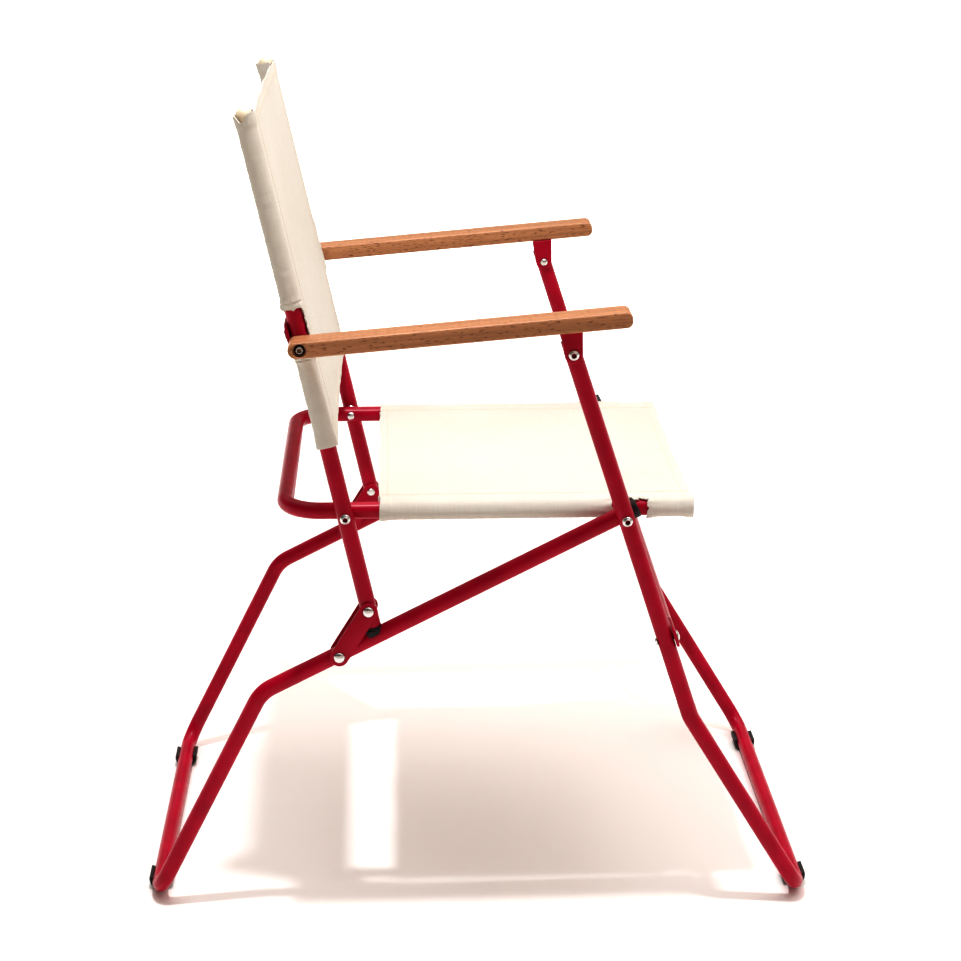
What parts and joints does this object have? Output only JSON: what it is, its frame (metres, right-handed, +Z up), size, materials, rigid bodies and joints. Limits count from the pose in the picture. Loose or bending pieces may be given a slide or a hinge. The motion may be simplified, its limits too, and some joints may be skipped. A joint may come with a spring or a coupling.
{
  "type": "folding chair",
  "caption": "Folding armchair on bent steel-tube legs with a canvas seat and back and flat beech arms; the frame folds flat about linked side pivots.",
  "frame": {"origin": "on the floor, midway between the two floor bars and between the two sides", "axes": "+Z up, the chair faces -Y, +X is towards the sitter's left"},
  "size_m": [0.451, 0.6604, 0.7856],
  "materials": {
    "frame_red": "glossy crimson paint on steel",
    "beech": "satin clear lacquer on beech",
    "canvas": "unbleached cotton canvas, plain weave",
    "black_rubber": "moulded rubber, satin",
    "steel": "bright zinc or nickel plate",
    "cream_plastic": "moulded plastic, matte"
  },
  "bodies": {
    "seat": {"seat_frame": "frame_red", "seat_fabric": "canvas", "seat_rail_cap_left": "black_rubber", "seat_rail_cap_right": "black_rubber", "seat_pivot_bolt_left": "steel", "seat_pivot_bolt_right": "steel", "seat_pivot_nut_left": "steel", "seat_pivot_nut_right": "steel", "seat_pivot_washer_left": "steel", "seat_pivot_washer_right": "steel", "front_pivot_nut_left": "steel", "front_pivot_nut_right": "steel"},
    "front_frame": {"front_frame": "frame_red", "front_stretcher": "frame_red", "front_stretcher_rivet_left": "steel", "front_stretcher_rivet_right": "steel", "front_foot_pad_left": "black_rubber", "front_foot_pad_right": "black_rubber", "front_pivot_bolt_left": "steel", "front_pivot_bolt_right": "steel"},
    "arm_left": {"arm_left": "beech", "arm_bracket_left": "frame_red", "bracket_screw_inner_left": "steel", "bracket_screw_outer_left": "steel", "arm_front_bolt_left": "steel", "arm_front_nut_left": "steel", "arm_rear_bolt_left": "steel"},
    "arm_right": {"arm_right": "beech", "arm_bracket_right": "frame_red", "bracket_screw_inner_right": "steel", "bracket_screw_outer_right": "steel", "arm_front_bolt_right": "steel", "arm_front_nut_right": "steel", "arm_rear_bolt_right": "steel"},
    "back": {"back_stretcher": "frame_red", "back_fabric": "canvas", "back_tube_left": "frame_red", "back_tube_right": "frame_red", "back_stretcher_rivet_left": "steel", "back_stretcher_rivet_right": "steel", "back_foot_plug_left": "black_rubber", "back_foot_plug_right": "black_rubber", "back_top_cap_left": "cream_plastic", "back_top_cap_right": "cream_plastic", "arm_washer_left": "steel", "arm_washer_right": "steel"},
    "link_left": {"link_outer_left": "frame_red", "link_inner_left": "frame_red", "link_top_rivet_left": "steel", "link_bottom_rivet_left": "steel"},
    "link_right": {"link_outer_right": "frame_red", "link_inner_right": "frame_red", "link_top_rivet_right": "steel", "link_bottom_rivet_right": "steel"},
    "rear_frame": {"rear_frame": "frame_red", "rear_foot_pad_left": "black_rubber", "rear_foot_pad_right": "black_rubber", "rear_leg_cap_left": "black_rubber", "rear_leg_cap_right": "black_rubber"}
  },
  "joints": [
    {"name": "front_leg_fold", "type": "hinge", "parent": "seat", "child": "front_frame", "pos_m": [0, -0.13869, 0.4025], "axis": [1, 0, 0], "range_deg": [0, 81.93]},
    {"name": "arm_left_fold", "type": "hinge", "parent": "front_frame", "child": "arm_left", "pos_m": [0.203, -0.08615, 0.56418], "axis": [1, 0, 0], "range_deg": [-90.33, 0]},
    {"name": "arm_right_fold", "type": "hinge", "parent": "front_frame", "child": "arm_right", "pos_m": [-0.203, -0.08615, 0.56418], "axis": [1, 0, 0], "range_deg": [-90.33, 0]},
    {"name": "back_fold", "type": "hinge", "parent": "seat", "child": "back", "pos_m": [0, 0.12581, 0.4025], "axis": [1, 0, 0], "range_deg": [0, 86.55]},
    {"name": "link_left_fold", "type": "hinge", "parent": "back", "child": "link_left", "pos_m": [0.1855, 0.10541, 0.30972], "axis": [1, 0, 0], "range_deg": [-193.55, 0]},
    {"name": "link_right_fold", "type": "hinge", "parent": "back", "child": "link_right", "pos_m": [-0.1855, 0.10541, 0.30972], "axis": [1, 0, 0], "range_deg": [-193.55, 0]},
    {"name": "rear_leg_fold", "type": "hinge", "parent": "link_left", "child": "rear_frame", "pos_m": [0, 0.13396, 0.26358], "axis": [1, 0, 0], "range_deg": [0, 126.57]}
  ],
  "couplings": [
    {"joint": "arm_left_fold", "follows": "front_leg_fold", "ratio": -1.1019},
    {"joint": "arm_right_fold", "follows": "front_leg_fold", "ratio": -1.1019},
    {"joint": "back_fold", "follows": "front_leg_fold", "ratio": 1.0557},
    {"joint": "link_left_fold", "follows": "front_leg_fold", "ratio": -2.3618},
    {"joint": "link_right_fold", "follows": "front_leg_fold", "ratio": -2.3618},
    {"joint": "rear_leg_fold", "follows": "front_leg_fold", "ratio": 1.5443}
  ]
}
